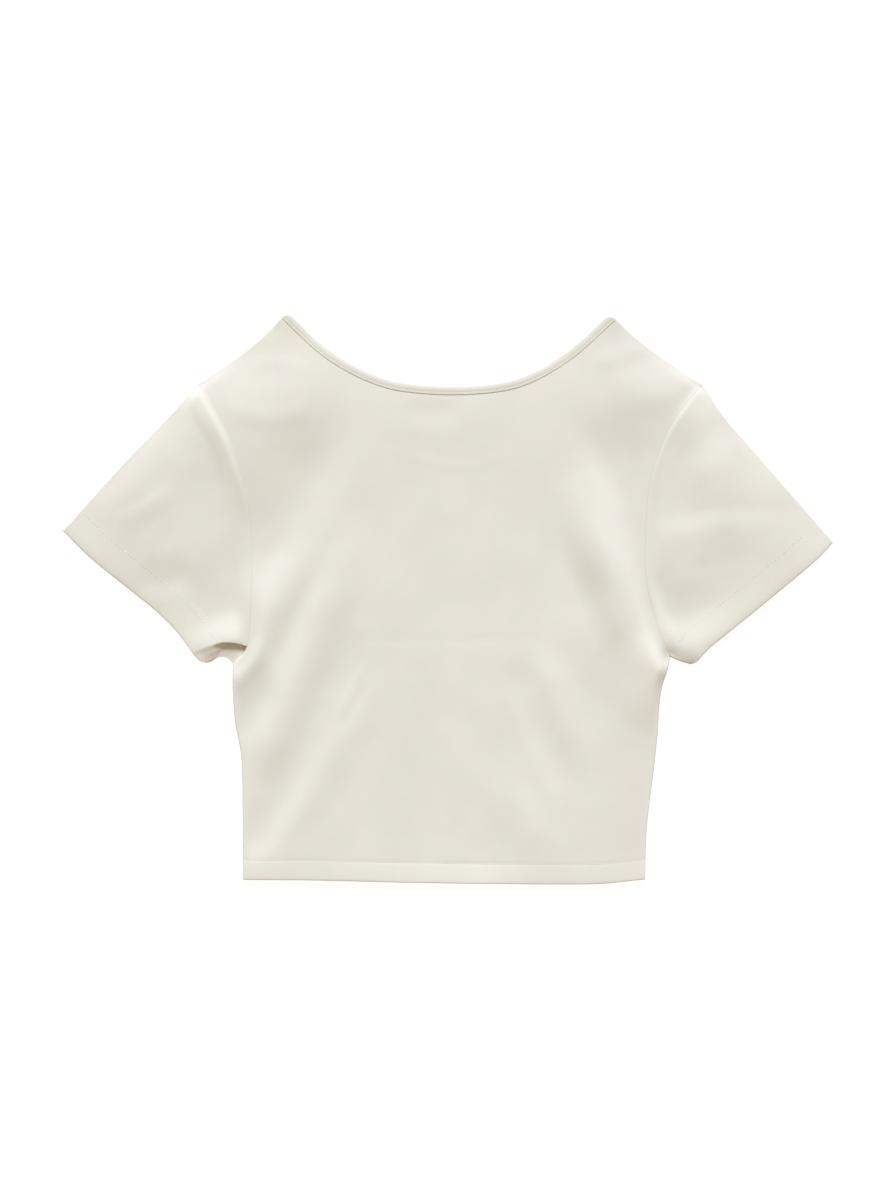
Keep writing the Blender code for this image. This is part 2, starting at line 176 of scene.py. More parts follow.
def neck_points(neck, share, depth):
    """Points at a depth inside the neck's edge, whose two corners are rounded."""
    from_end = np.minimum(share, 1.0 - share) * neck.length
    inset = TIP_ROUND - np.sqrt(TIP_ROUND ** 2 - np.maximum(TIP_ROUND - from_end, 0.0) ** 2)
    depth = depth + inset * np.maximum(1.0 - depth / TIP_ROUND, 0.0)
    return neck.at(share) + neck_inward(neck, share) * depth[..., None]


def side_points(side, armhole, inset):
    """Points up a panel's edge: hem rows, the side seam, the armhole, then close to the tip."""
    near_tip = armhole.length - np.array(EDGE_ROWS[::-1])
    seam_reach = np.concatenate((HEM_ROWS, even_steps(HEM_ROWS[-1], side.length, SIDE_STEPS)))
    over_reach = np.concatenate((even_steps(0.0, near_tip[0], ARMHOLE_STEPS), near_tip[1:]))
    over = armhole.at(over_reach / armhole.length)
    over += armhole.left_of(over_reach / armhole.length) * inset
    return np.vstack((side.at(seam_reach / side.length), over))


def top_points(neck):
    """The raw top edge: left shoulder, the neck's edge inside its binding, right shoulder."""
    shares = np.linspace(0.0, 1.0, 401)
    inside = neck_points(neck, shares, np.full(401, NECK_INSET))
    rising = left_shoulder.points[left_shoulder.points[:, 0] < inside[0, 0]]
    falling = right_shoulder.points[right_shoulder.points[:, 0] > inside[-1, 0]][::-1]
    edge = np.vstack((rising, inside, falling))
    near = np.array(EDGE_ROWS)
    left_end = edge[0, 0] + near
    right_end = edge[-1, 0] - near[::-1]
    shoulder_steps = round((inside[0, 0] - left_end[-1]) / STEP)
    neck_steps = round((inside[-1, 0] - inside[0, 0]) / STEP)
    across = np.concatenate((left_end, even_steps(left_end[-1], inside[0, 0], shoulder_steps),
                             even_steps(inside[0, 0], inside[-1, 0], neck_steps),
                             even_steps(inside[-1, 0], right_end[0], shoulder_steps)[:-1],
                             right_end))
    return np.stack((across, np.interp(across, edge[:, 0], edge[:, 1])), axis=-1)


def panel_plan(neck):
    """Plan of a panel: rows run up from the hem, columns across from left to right."""
    left = side_points(left_side, left_armhole, -SEAM_HALF)
    right = side_points(right_side, right_armhole, SEAM_HALF)
    top = top_points(neck)
    across = (top[:, 0] - top[0, 0]) / (top[-1, 0] - top[0, 0])
    bottom = bottom_hem.at(across)
    up = ((left[:, 1] - bottom[0, 1]) / (top[0, 1] - bottom[0, 1]))[:, None, None]
    share = across[None, :, None]
    corners = ((bottom[0] * (1 - share) + bottom[-1] * share) * (1 - up)
               + (top[0] * (1 - share) + top[-1] * share) * up)
    sides = left[:, None] * (1 - share) + right[:, None] * share
    plan = bottom[None] * (1 - up) + top[None] * up + sides - corners

    level = bottom[None] + sides - bottom[0] * (1 - share) - bottom[-1] * share
    rows = np.arange(len(left)) - len(HEM_ROWS)
    free = ease(rows / 14.0)[:, None]
    plan[..., 1] = plan[..., 1] * free + level[..., 1] * (1.0 - free)

    slope = np.gradient(top[:, 1], top[:, 0])
    stretch = np.sqrt(1.0 + slope ** 2)
    stretch[:len(EDGE_ROWS)] = 1.0
    stretch[-len(EDGE_ROWS):] = 1.0
    smooth = np.convolve(np.pad(stretch, 3, mode="edge"), np.ones(7) / 7.0, mode="valid")
    below = top[None, :, 1] - plan[..., 1]
    plan[..., 1] -= below * (smooth[None] - 1.0) * (1.0 - ease(below / 40.0))
    return plan


def normals(face, ring=False):
    """Unit normals of a grid of points, upwards where columns run to +X and rows to +Y."""
    if ring:
        face = np.concatenate((face[:, -2:-1], face, face[:, 1:2]), axis=1)
    found = unit(np.cross(np.gradient(face, axis=1), np.gradient(face, axis=0)))
    return found[:, 1:-1] if ring else found


def turned_up(face, depth, facing=1.0, ring=False):
    """Adds the hem that is turned inside: its raw edge, the turn-up and the rounded fold."""
    inward = -facing * normals(face, ring)[:depth]
    band = face[:depth]
    inside = (band + inward * 2.0 * FOLD_RADIUS)[::-1]
    outward = unit(band[0] - band[1])
    middle = band[0] + inward[0] * FOLD_RADIUS
    turns = np.radians(np.linspace(180.0, 0.0, 9)[1:-1])[:, None, None]
    fold = middle + FOLD_RADIUS * (outward * np.sin(turns) - inward[0] * np.cos(turns))
    return np.vstack((inside, fold, face))


def rounded(distance, radius):
    """0 at an edge, rising to 1 inside the cloth along a quarter circle."""
    return np.sqrt(1.0 - (1.0 - np.clip(distance / radius, 0.0, 1.0)) ** 2)


def cloth(name, face, finish, facing=1.0, grain=0.0, ring=False, wall=WALL):
    """A piece of jersey: its outer face is the grid of points, its thickness lies inside."""
    rows, columns = face.shape[0] - 1, face.shape[1] - 1
    maker = bmesh.new()
    bmesh.ops.create_grid(maker, x_segments=columns, y_segments=rows, size=0.5)
    for vert in maker.verts:
        column = round((vert.co.x + 0.5) * columns)
        row = round((vert.co.y + 0.5) * rows)
        vert.co = face[row, column] * MM
    if facing < 0.0:
        bmesh.ops.reverse_faces(maker, faces=maker.faces)
    if ring:
        bmesh.ops.remove_doubles(maker, verts=maker.verts, dist=0.000001)
    cut = maker.loops.layers.uv.new("cut")
    turn = Matrix.Rotation(-grain, 2)
    for part in maker.faces:
        for corner in part.loops:
            corner[cut].uv = turn @ corner.vert.co.xy
    mesh = bpy.data.meshes.new(name)
    maker.to_mesh(mesh)
    maker.free()
    mesh.materials.append(finish)
    mesh.shade_smooth()
    piece = bpy.data.objects.new(name, mesh)
    bpy.context.scene.collection.objects.link(piece)
    thickness = piece.modifiers.new("wall", "SOLIDIFY")
    thickness.thickness = wall * MM
    thickness.offset = -1.0
    return piece


def knit(name, warm, cool, open_depth):
    """Fine plain jersey: wales and courses as bump, a faint open mesh, a mottled cream."""
    material = bpy.data.materials.new(name)
    material.use_nodes = True
    nodes, links = material.node_tree.nodes, material.node_tree.links
    shader = nodes["Principled BSDF"]
    shader.inputs["Roughness"].default_value = 0.95
    shader.inputs["Specular IOR Level"].default_value = 0.15
    shader.inputs["Sheen Weight"].default_value = 0.1
    shader.inputs["Sheen Roughness"].default_value = 0.6

    def maths(operation, first, second=None):
        node = nodes.new("ShaderNodeMath")
        node.operation = operation
        for socket, value in zip(node.inputs, (first, second)):
            if isinstance(value, (int, float)):
                socket.default_value = value
            elif value is not None:
                links.new(value, socket)
        return node.outputs[0]

    cut = nodes.new("ShaderNodeUVMap")
    cut.uv_map = "cut"
    split = nodes.new("ShaderNodeSeparateXYZ")
    links.new(cut.outputs["UV"], split.inputs[0])
    wale_width = 0.0009
    course_height = 0.0007
    wale = maths("FRACT", maths("MULTIPLY", split.outputs["X"], 1.0 / wale_width))
    from_middle = maths("ABSOLUTE", maths("SUBTRACT", wale, 0.5))
    course = maths("MULTIPLY", split.outputs["Y"], 2.0 * math.pi / course_height)
    loops = maths("SINE", maths("ADD", course, maths("MULTIPLY", from_middle, 5.0)))
    stitches = maths("SUBTRACT", maths("MULTIPLY", loops, 0.12), from_middle)

    open_pitch = 2.0 * math.pi / 0.0032
    leaning = maths("ADD", split.outputs["X"], split.outputs["Y"])
    other = maths("SUBTRACT", split.outputs["X"], split.outputs["Y"])
    open_mesh = maths("MULTIPLY", maths("SINE", maths("MULTIPLY", leaning, open_pitch)),
                      maths("SINE", maths("MULTIPLY", other, open_pitch)))

    fuzz = nodes.new("ShaderNodeTexNoise")
    fuzz.inputs["Scale"].default_value = 900.0
    fuzz.inputs["Detail"].default_value = 3.0
    links.new(cut.outputs["UV"], fuzz.inputs["Vector"])

    relief = maths("ADD", maths("MULTIPLY", stitches, 0.1),
                   maths("MULTIPLY", open_mesh, 0.2 * open_depth))
    relief = maths("ADD", relief, maths("MULTIPLY", fuzz.outputs["Fac"], 0.35))
    bump = nodes.new("ShaderNodeBump")
    bump.inputs["Strength"].default_value = 0.6
    bump.inputs["Distance"].default_value = 0.00012
    links.new(relief, bump.inputs["Height"])
    links.new(bump.outputs["Normal"], shader.inputs["Normal"])

    position = nodes.new("ShaderNodeTexCoord")
    patches = nodes.new("ShaderNodeTexNoise")
    patches.inputs["Scale"].default_value = 60.0
    patches.inputs["Detail"].default_value = 3.0
    patches.inputs["Roughness"].default_value = 0.55
    links.new(position.outputs["Object"], patches.inputs["Vector"])
    tints = nodes.new("ShaderNodeValToRGB")
    tints.color_ramp.elements[0].position = 0.38
    tints.color_ramp.elements[0].color = (*cool, 1.0)
    tints.color_ramp.elements[1].position = 0.62
    tints.color_ramp.elements[1].color = (*warm, 1.0)
    links.new(patches.outputs["Fac"], tints.inputs["Fac"])

    mottle = nodes.new("ShaderNodeTexNoise")
    mottle.inputs["Scale"].default_value = 17.0
    mottle.inputs["Detail"].default_value = 5.0
    mottle.inputs["Roughness"].default_value = 0.6
    links.new(position.outputs["Object"], mottle.inputs["Vector"])
    shades = nodes.new("ShaderNodeMapRange")
    shades.inputs["From Min"].default_value = 0.3
    shades.inputs["From Max"].default_value = 0.7
    shades.inputs["To Min"].default_value = 0.965
    shades.inputs["To Max"].default_value = 1.035
    links.new(mottle.outputs["Fac"], shades.inputs["Value"])
    tone = maths("ADD", shades.outputs["Result"], maths("MULTIPLY", open_mesh, 0.04 * open_depth))
    colour = nodes.new("ShaderNodeVectorMath")
    colour.operation = "SCALE"
    links.new(tints.outputs["Color"], colour.inputs[0])
    links.new(tone, colour.inputs["Scale"])
    links.new(colour.outputs["Vector"], shader.inputs["Base Color"])
    return material


WARM_CREAM = (0.777, 0.737, 0.670)
COOL_CREAM = (0.764, 0.740, 0.664)

jersey = knit("cream_jersey", WARM_CREAM, COOL_CREAM, open_depth=0.1)

# Where a crease runs, its width to the left and right of its route, its height, and the
# share of it over which each end fades out.
Crease = namedtuple("Crease", "name where route left right height start end")


def crease_height(crease, place):
    """Soft in section, with its own width on each side, and fading towards its two ends."""
    away, side, _ = Line(*crease.route).nearest(place)
    first = np.array(crease.route[0])
    span = np.array(crease.route[-1]) - first
    share = np.clip((place - first) @ span / (span @ span), 0.0, 1.0)
    height = crease.height * (1.0 - ease(away / np.where(side > 0.0, crease.left, crease.right)))
    if crease.start:
        height = height * ease(share / crease.start)
    if crease.end:
        height = height * ease((1.0 - share) / crease.end)
    return height


UNDER_CREASES = (
    Crease("right side drag line", "front", ((88, 120), (112, 40), (150, -40)),
           20, 24, 1.0, 0.35, 0.35),
    Crease("left side drag line", "front", ((-92, 110), (-118, 30), (-152, -44)),
           24, 20, 1.1, 0.35, 0.35),
    Crease("left waist drag line", "front", ((-52, 40), (-96, -60), (-148, -130)),
           20, 17, 0.9, 0.35, 0.3),
    Crease("right hip drag line", "front", ((52, 20), (84, -70), (126, -150)),
           18, 22, 0.8, 0.35, 0.3),
    Crease("middle hollow", "front", ((-20, -60), (24, -96), (70, -102)),
           26, 20, 0.6, 0.35, 0.35),
    Crease("chest hollow", "front", ((-60, 60), (-6, 44), (52, 58)), 20, 26, 0.6, 0.35, 0.35),
    Crease("left hem drag line", "front", ((-96, -120), (-70, -160), (-58, -196)),
           14, 16, 0.6, 0.35, 0.3),
)

BINDING_WIDTH = 7.4
BINDING_HALF = 1.0


def from_neck_corner(place):
    """Distance from the nearer end of the neck opening."""
    return np.minimum(np.linalg.norm(place - LEFT_NECK, axis=-1),
                      np.linalg.norm(place - RIGHT_NECK, axis=-1))


SEAM_LEVEL = 1.6
HEM_SEAM_RISE = 0.25
SHOULDER_SEAM_DROP = 0.4
NECK_SEAM_RISE = 1.1
EDGE_GAP_HALF = 0.08


def seam_middle(place):
    """Height over the table at which the front's and the back's edges meet."""
    at_hem = 1.0 - ease((place[..., 1] + 205.0) / 20.0)
    at_shoulder = ease((place[..., 1] - 60.0) / 80.0)
    at_corner = 1.0 - ease((from_neck_corner(place) - 6.0) / 22.0)
    return (SEAM_LEVEL + HEM_SEAM_RISE * at_hem - SHOULDER_SEAM_DROP * at_shoulder
            + NECK_SEAM_RISE * at_corner)


def from_outline(place):
    """Distance from the nearest side or shoulder seam."""
    edges = (left_side, right_side, left_shoulder, right_shoulder)
    return np.min([edge.distance(place) for edge in edges], axis=0)


def from_armhole(place):
    return np.minimum(left_armhole.distance(place), right_armhole.distance(place))


SEAM_SINK = 0.06
SEAM_ROUND = 1.3


def seam_sink(away):
    """How far the cloth dips where it is sewn to the next piece."""
    return SEAM_SINK * np.clip(1.0 - away / SEAM_ROUND, 0.0, 1.0) ** 2


def stitch_dent(away):
    """The soft dent that a row of stitches pulls into the cloth."""
    return 0.1 * np.exp(-(away / 1.3) ** 2)


def front_height(place):
    """The front's outer face: on the table, but for creases, its binding, seams and edges."""
    clear = ease((from_outline(place) - 8.0) / 24.0) * ease((from_armhole(place) - 8.0) / 24.0)
    clear *= ease((front_neck.distance(place) - 12.0) / 24.0)
    clear *= ease((bottom_hem.distance(place) - 22.0) / 20.0)
    height = clear * sum(crease_height(crease, place) for crease in UNDER_CREASES)
    beside_neck = 1.0 - ease((front_neck.distance(place) - BINDING_WIDTH) / 14.0)
    height += (BINDING_HALF - WALL / 2.0) * beside_neck
    height += seam_sink(from_armhole(place))
    height += 0.6 * stitch_dent(bottom_hem.distance(place) - HEM_LINE)
    to_edge = seam_middle(place) - EDGE_GAP_HALF - height
    return height + to_edge * (1.0 - rounded(from_outline(place), EDGE_RADIUS))


def with_height(plan, height):
    return np.concatenate((plan, height[..., None]), axis=-1)


HEM_FOLD_ROWS = HEM_ROWS.index(HEM_DEPTH) + 1

plan = panel_plan(front_neck)
face = turned_up(with_height(plan, front_height(plan)), HEM_FOLD_ROWS, facing=-1.0)
front_panel = cloth("front_panel_cloth", face, jersey, facing=-1.0)
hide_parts("front_panel")
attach(front_panel, "root")

# ------------------------------------------------------------------------------------------
# Back panel. The same jersey, with a higher neck than the front. It lies over the front
# with its outer face up, sinks at the seams and edges, and carries the creases left from
# folding, pulling into place at the underarms and the weight of the doubled hem.
# ------------------------------------------------------------------------------------------

LEFT_SLEEVE_TIP = (-308.6, 55.2)
RIGHT_SLEEVE_TIP = (308.6, 46.0)
LEFT_SLEEVE_CORNER = (-193.6, -50.8)
RIGHT_SLEEVE_CORNER = (194.4, -52.0)

back_neck = Line(LEFT_NECK, (-118.4, 220.8), (-102.4, 205.8), (-86.4, 194.0), (-62.4, 181.4),
                 (-36.0, 173.6), (4.0, 170.8), (42.0, 173.6), (66.0, 181.0), (89.6, 194.6),
                 (105.6, 207.2), RIGHT_NECK)
left_sleeve_fold = Line(LEFT_TIP, (-226.4, 143.6), (-257.6, 111.6), LEFT_SLEEVE_TIP)
right_sleeve_fold = Line(RIGHT_TIP, (222.4, 145.0), (251.6, 111.6), RIGHT_SLEEVE_TIP)
left_sleeve_hem = Line(LEFT_SLEEVE_TIP, (-284.0, 31.2), (-249.6, 3.4), (-233.6, -9.6),
                       (-217.6, -25.6), (-203.2, -44.8), (-198.6, -49.2), LEFT_SLEEVE_CORNER)
right_sleeve_hem = Line(RIGHT_SLEEVE_TIP, (294.0, 30.6), (253.6, -3.3), (213.6, -35.8),
                        (205.2, -43.6), (199.0, -50.0), RIGHT_SLEEVE_CORNER)
left_sleeve_seam = Line(LEFT_UNDERARM, (-175.3, -47.6), (-179.8, -46.0), (-185.0, -46.8),
                        (-189.6, -49.6), LEFT_SLEEVE_CORNER)
right_sleeve_seam = Line(RIGHT_UNDERARM, (186.4, -49.6), RIGHT_SLEEVE_CORNER)

PLATEAU = 5.2
LOWEST = 2.1
HEMS_TOP = 2.7
OVER_FRONT_NECK = 3.3
OVER_NECK_CORNER = 0.65
SLEEVE_HEM_DEPTH = 23.2

HEMS = (bottom_hem, left_sleeve_hem, right_sleeve_hem)

# The height to which the cloth sinks at each line, and how far inside the line that starts.
Slope = namedtuple("Slope", "line low reach")

SLOPES = (
    Slope(left_shoulder, 3.6, 50), Slope(right_shoulder, 3.6, 40),
    Slope(left_sleeve_fold, 3.9, 44), Slope(right_sleeve_fold, 3.1, 44),
    Slope(left_side, 3.8, 24), Slope(right_side, 3.8, 24),
    Slope(bottom_hem, 5.0, 8),
    Slope(left_sleeve_hem, 4.8, 8), Slope(right_sleeve_hem, 4.8, 8),
    Slope(left_sleeve_seam, 3.4, 20), Slope(right_sleeve_seam, 3.1, 13),
    Slope(back_neck, 4.2, 40),
)

CREASES = (
    Crease("left shoulder swell", "both",
           ((-222, 158), (-186, 154), (-150, 147), (-118, 150), (-84, 164)),
           54, 92, 3.0, 0.3, 0.3),
    Crease("left shoulder fold", "body",
           ((-190, 160), (-172, 151), (-150, 146), (-126, 147), (-110, 154), (-100, 172)),
           12, 14, 0.35, 0.3, 0.3),
    Crease("left shoulder ripple", "body", ((-160, 190), (-134, 190), (-106, 184)),
           8, 12, 0.25, 0.3, 0.3),
    Crease("right shoulder swell", "both", ((84, 146), (124, 160), (170, 164), (226, 152)),
           44, 50, 1.6, 0.5, 0.3),
    Crease("right shoulder fold", "body", ((124, 162), (150, 162), (172, 165), (196, 172)),
           30, 22, 0.7, 0.5, 0),
    Crease("right shoulder ripple", "body", ((112, 186), (138, 196), (166, 206)),
           10, 12, 0.4, 0.3, 0.3),
    Crease("left seam allowance near the tip", "both",
           ((-203, 170), (-193, 150), (-180.5, 126), (-171.5, 98), (-164, 70)),
           7, 13, 1.6, 0.08, 0.6),
    Crease("left seam allowance", "both",
           ((-202, 172), (-190, 152), (-177.5, 126), (-169, 100), (-162, 76), (-158.4, 40),
            (-159, 0), (-162, -34)), 3.5, 6, 0.3, 0.15, 0.1),
    Crease("right seam allowance near the tip", "both",
           ((205, 170), (194, 157), (182, 139), (171, 116)), 12, 6, 0.7, 0.08, 0.6),
    Crease("right seam allowance", "both",
           ((205, 170), (194, 157), (180, 136), (169, 112), (162.5, 84), (160, 50), (160.6, 15),
            (168, -18)), 6, 3, 0.4, 0.15, 0.1),
    Crease("left armhole hollow", "both",
           ((-88, 166), (-102, 130), (-114, 100), (-129, 70), (-145, 36), (-158, -4)),
           38, 56, -3.1, 0.4, 0.28),
    Crease("left underarm ridge", "body",
           ((-118, 54), (-128, 16), (-141, -10), (-154, -32), (-174, -55)), 24, 26, 2.1, 0.4, 0),
    Crease("left side swell", "body", ((-142, -29), (-158, -42), (-186, -52)),
           44, 9, 1.5, 0.4, 0),
    Crease("left waist hollow", "body",
           ((-108, 44), (-119, 12), (-130, -28), (-141, -60), (-153, -84), (-169, -104)),
           20, 22, -1.2, 0.3, 0),
    Crease("left waist ridge", "body",
           ((-72, 84), (-84, 20), (-100, -10), (-110, -36), (-120, -64), (-130, -90),
            (-140, -114), (-151, -134), (-164, -152)), 26, 22, 1.8, 0.4, 0.2),
    Crease("left hip hollow", "body",
           ((-72, -16), (-90, -54), (-100, -77), (-110, -106), (-120, -132), (-132, -156),
            (-150, -184), (-172, -204), (-190, -212)), 22, 28, -1.5, 0.3, 0.15),
    Crease("left hem ridge", "body",
           ((-50, -52), (-66, -78), (-82, -108), (-96, -134), (-110, -158), (-126, -182),
            (-142, -200)), 24, 18, 0.9, 0.3, 0.3),
    Crease("left hip ripple", "body", ((-66, -50), (-80, -76), (-92, -100)), 6, 6, 0.3, 0.3, 0.3),
    Crease("left hip ripple hollow", "body", ((-64, -66), (-76, -88), (-86, -108)),
           6, 6, -0.3, 0.3, 0.3),
    Crease("right armhole hollow", "body",
           ((104, 158), (122, 122), (140, 86), (152, 54), (162, 18), (168, -10)),
           44, 22, -1.8, 0.35, 0.2),
    Crease("right side ridge", "body",
           ((104, 120), (108, 90), (117, 56), (123, 38), (130, 21), (137, 3), (144, -14),
            (152, -30), (162, -45), (176, -58)), 26, 32, 5.8, 0.5, 0.5),
    Crease("right underarm swell", "body",
           ((112, 12), (130, -16), (148, -38), (168, -54), (196, -66)), 28, 56, 2.7, 0.4, 0),
    Crease("right waist swell", "body", ((124, -44), (158, -54), (196, -70)),
           28, 150, 2.3, 0.65, 0),
    Crease("right waist hollow", "body", ((116, -114), (150, -124), (196, -128)),
           48, 96, -1.4, 0.5, 0),
    Crease("right hem hollow", "body", ((108, -236), (140, -236), (190, -236)),
           110, 20, -1.8, 0.5, 0),
    Crease("right hip ridge", "body", ((72, -34), (84, -70), (96, -106), (112, -146)),
           24, 16, 0.9, 0.3, 0.4),
    Crease("right hip hollow", "body", ((52, -44), (62, -78), (78, -120), (98, -170)),
           18, 16, -0.7, 0.2, 0.4),
    Crease("right hem ridge", "body", ((34, -120), (59, -172), (88, -204)),
           20, 30, 0.5, 0.4, 0.3),
    Crease("press crease", "body", ((-82, -32), (-38, -32), (6, -33), (42, -32), (80, -32)),
           6, 6, -0.1, 0.1, 0.1),
    Crease("front neck under the back", "body",
           ((-54, 126), (-34, 116), (0, 107), (26, 108), (58, 121)), 6, 7, 0.12, 0.3, 0.3),
    Crease("neck pucker", "body", ((-42, 151), (-16, 150), (14, 151)), 12, 18, -0.4, 0.35, 0.35),
    Crease("chest crease", "body", ((-46, 92), (-24, 90), (2, 91)), 2.5, 2.5, -0.07, 0.3, 0.3),
    Crease("left sleeve top", "sleeve", ((-220, 148), (-200, 150), (-174, 146)),
           20, 60, 1.0, 0.4, 0.1),
    Crease("left sleeve swell", "sleeve", ((-212, 152), (-230, 114), (-254, 82), (-284, 58)),
           70, 26, 1.5, 0.35, 0.4),
    Crease("left sleeve ripple", "sleeve", ((-266, 60), (-244, 72), (-214, 90)),
           10, 14, 0.4, 0.3, 0.3),
    Crease("left sleeve dent", "sleeve", ((-252, 14), (-226, 15), (-198, 20)),
           24, 18, -0.8, 0.35, 0.35),
    Crease("left sleeve hollow", "sleeve",
           ((-300, 28), (-264, -4), (-236, -20), (-212, -17), (-192, -8), (-150, 0)),
           60, 44, -2.6, 0.4, 0),
    Crease("right sleeve crest", "sleeve",
           ((150, 34), (166, 47), (192, 52), (222, 58), (250, 57), (296, 56)),
           18, 30, 1.0, 0.3, 0.5),
    Crease("right sleeve top", "sleeve", ((166, 140), (190, 148), (214, 144)),
           26, 62, 1.1, 0.1, 0.4),
    Crease("right sleeve swell", "sleeve", ((196, 126), (210, 98), (228, 74), (256, 50)),
           60, 34, 1.7, 0.3, 0.75),
    Crease("left pleat", "sleeve",
           ((-206, -36), (-197, -38), (-188, -40), (-180, -34.4), (-170, -32.8), (-158, -34)),
           24, 12, 2.0, 0.4, 0),
    Crease("right sleeve hollow", "sleeve",
           ((154, -2), (184, -13), (209, -4), (232, 16), (248, 42)), 40, 28, -2.2, 0, 0.65),
)


def larger(first, second, blend=0.6):
    """The larger of two heights, with a soft change from one to the other."""
    close = np.maximum(1.0 - np.abs(first - second) / blend, 0.0)
    return np.maximum(first, second) + blend * close ** 2 / 4.0


def upper_height(place, where):
    """The upper layer's outer face over the table, before its edges and seams are turned."""
    height = np.full(place.shape[:-1], PLATEAU)
    free = np.ones(place.shape[:-1])
    for slope in SLOPES:
        away = slope.line.distance(place)
        height -= (PLATEAU - slope.low) * (1.0 - np.clip(away / slope.reach, 0.0, 1.0)) ** 2
        if slope.line not in HEMS:
            free *= ease((away + 3.0) / 11.0)
    beside_seam = ease(from_armhole(place) / 14.0)
    for crease in CREASES:
        if crease.where == "both":
            height += free * crease_height(crease, place)
        elif crease.where == where:
            height += free * beside_seam * crease_height(crease, place)
    height = larger(height, LOWEST)

    over_hem = [1.0 - ease((bottom_hem.distance(place) - HEM_DEPTH) / 12.0)]
    for hem in (left_sleeve_hem, right_sleeve_hem):
        over_hem.append(1.0 - ease((hem.distance(place) - SLEEVE_HEM_DEPTH) / 14.0))
    height = larger(height, HEMS_TOP * np.max(over_hem, axis=0))
    at_corner = 1.0 - ease((from_neck_corner(place) - 12.0) / 24.0)
    crossing = OVER_FRONT_NECK + OVER_NECK_CORNER * at_corner
    return larger(height, crossing * (1.0 - ease((front_neck.distance(place) - 9.0) / 16.0)))


HEM_PUFF = 1.0
HEM_PUFF_AT_SIDES = 0.4
HEM_EDGE_ROLL = 2.5
OPENING_SINK = 2.8
OPENING_ROUND = 2.2


def underarm_opening(place):
    """1 at the foot of the left armhole, where the sleeve has been pushed open."""
    away = np.linalg.norm(place - LEFT_UNDERARM, axis=-1)
    return 1.0 - ease((away - 10.0) / 13.0)


def back_height(place):
    """The back's outer face, with its hem, its armhole seams and its rolled edges."""
    height = upper_height(place, "body")
    from_hem = bottom_hem.distance(place)
    puff = HEM_PUFF_AT_SIDES + HEM_PUFF * (1.0 - ease(np.abs(place[..., 0]) / 110.0))
    height += puff * np.clip(1.0 - from_hem / HEM_LINE, 0.0, 1.0)
    height -= 0.1 * np.clip(1.0 - from_hem / HEM_EDGE_ROLL, 0.0, 1.0) ** 2
    height -= stitch_dent(from_hem - HEM_LINE)
    height -= seam_sink(from_armhole(place))
    opening = underarm_opening(place)
    at_opening = rounded(left_armhole.distance(place) - SEAM_HALF, 0.5 + OPENING_ROUND * opening)
    height -= OPENING_SINK * opening * (1.0 - at_opening)
    middle = seam_middle(place) + EDGE_GAP_HALF
    height = larger(height, middle + 0.4)
    return middle + (height - middle) * rounded(from_outline(place), EDGE_RADIUS)


plan = panel_plan(back_neck)
face = turned_up(with_height(plan, back_height(plan)), HEM_FOLD_ROWS)
back_panel = cloth("back_panel_cloth", face, jersey)
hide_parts("back_panel")
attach(back_panel, "root")

# ------------------------------------------------------------------------------------------
# Sleeves. Each is one piece of the jersey, folded along its top edge and closed by a short
# underarm seam into a tube, pressed flat. Its hem is turned up inside, and the armhole seam
# sinks between two low rolls of cloth.
# ------------------------------------------------------------------------------------------

SLEEVE_HEM_LINE = 22.0
SLEEVE_HEM_ROWS = (FOLD_RADIUS, 1.4, 2.2, 3.2, 4.8, 7.0, 9.6, 12.4, 15.2, 17.6, 19.4, 20.4, 21.2,
                   SLEEVE_HEM_LINE, 22.6, SLEEVE_HEM_DEPTH, 24.0, 25.2)
SLEEVE_HEM_FOLD_ROWS = SLEEVE_HEM_ROWS.index(SLEEVE_HEM_DEPTH) + 1
SLEEVE_STEPS = 52
SLEEVE_GRAIN = math.radians(43.0)


def sleeve_plan(armhole, fold, hem, seam, outward):
    """Rows run from the hem to the armhole, columns from the fold to the underarm seam.

    Also returns how far out each row lies at the underarm, from the armhole 0 to the hem 1.
    """
    near = np.array(EDGE_ROWS) / armhole.length
    middle = even_steps(near[-1], 1.0 - near[-1], ARMHOLE_STEPS)[:-1]
    down = np.concatenate((near, middle, 1.0 - near[::-1]))[None, :]
    length = (1.0 - down) * fold.length + down * seam.length
    hem_squeeze = np.minimum(1.0, 0.5 * length / SLEEVE_HEM_ROWS[-1])
    seam_squeeze = np.minimum(1.0, 0.16 * length / EDGE_ROWS[-1])
    from_hem = FOLD_RADIUS + (np.array(SLEEVE_HEM_ROWS)[:, None] - FOLD_RADIUS) * hem_squeeze
    from_seam = np.array(EDGE_ROWS[::-1])[:, None] * seam_squeeze
    step = np.linspace(0.0, 1.0, SLEEVE_STEPS + 1)[1:-1, None]
    between = from_hem[-1:] * (1 - step) + (length - from_seam[:1]) * step
    out = 1.0 - np.vstack((from_hem, between, length - from_seam)) / length

    share = 1.0 - down
    inner = armhole.at(share) + armhole.left_of(share) * outward * SEAM_HALF
    outer = hem.at(down)
    up = out[..., None]
    across = down[..., None]
    along_fold = fold.at(out) + (inner[:, :1] - fold.at(0.0)) * (1 - up)
    along_seam = seam.at(out) + (inner[:, -1:] - seam.at(0.0)) * (1 - up)
    corners = ((inner[:, :1] * (1 - across) + inner[:, -1:] * across) * (1 - up)
               + (outer[:, :1] * (1 - across) + outer[:, -1:] * across) * up)
    plan = (inner * (1 - up) + outer * up + along_fold * (1 - across) + along_seam * across
            - corners)
    return plan, out[:, -1]


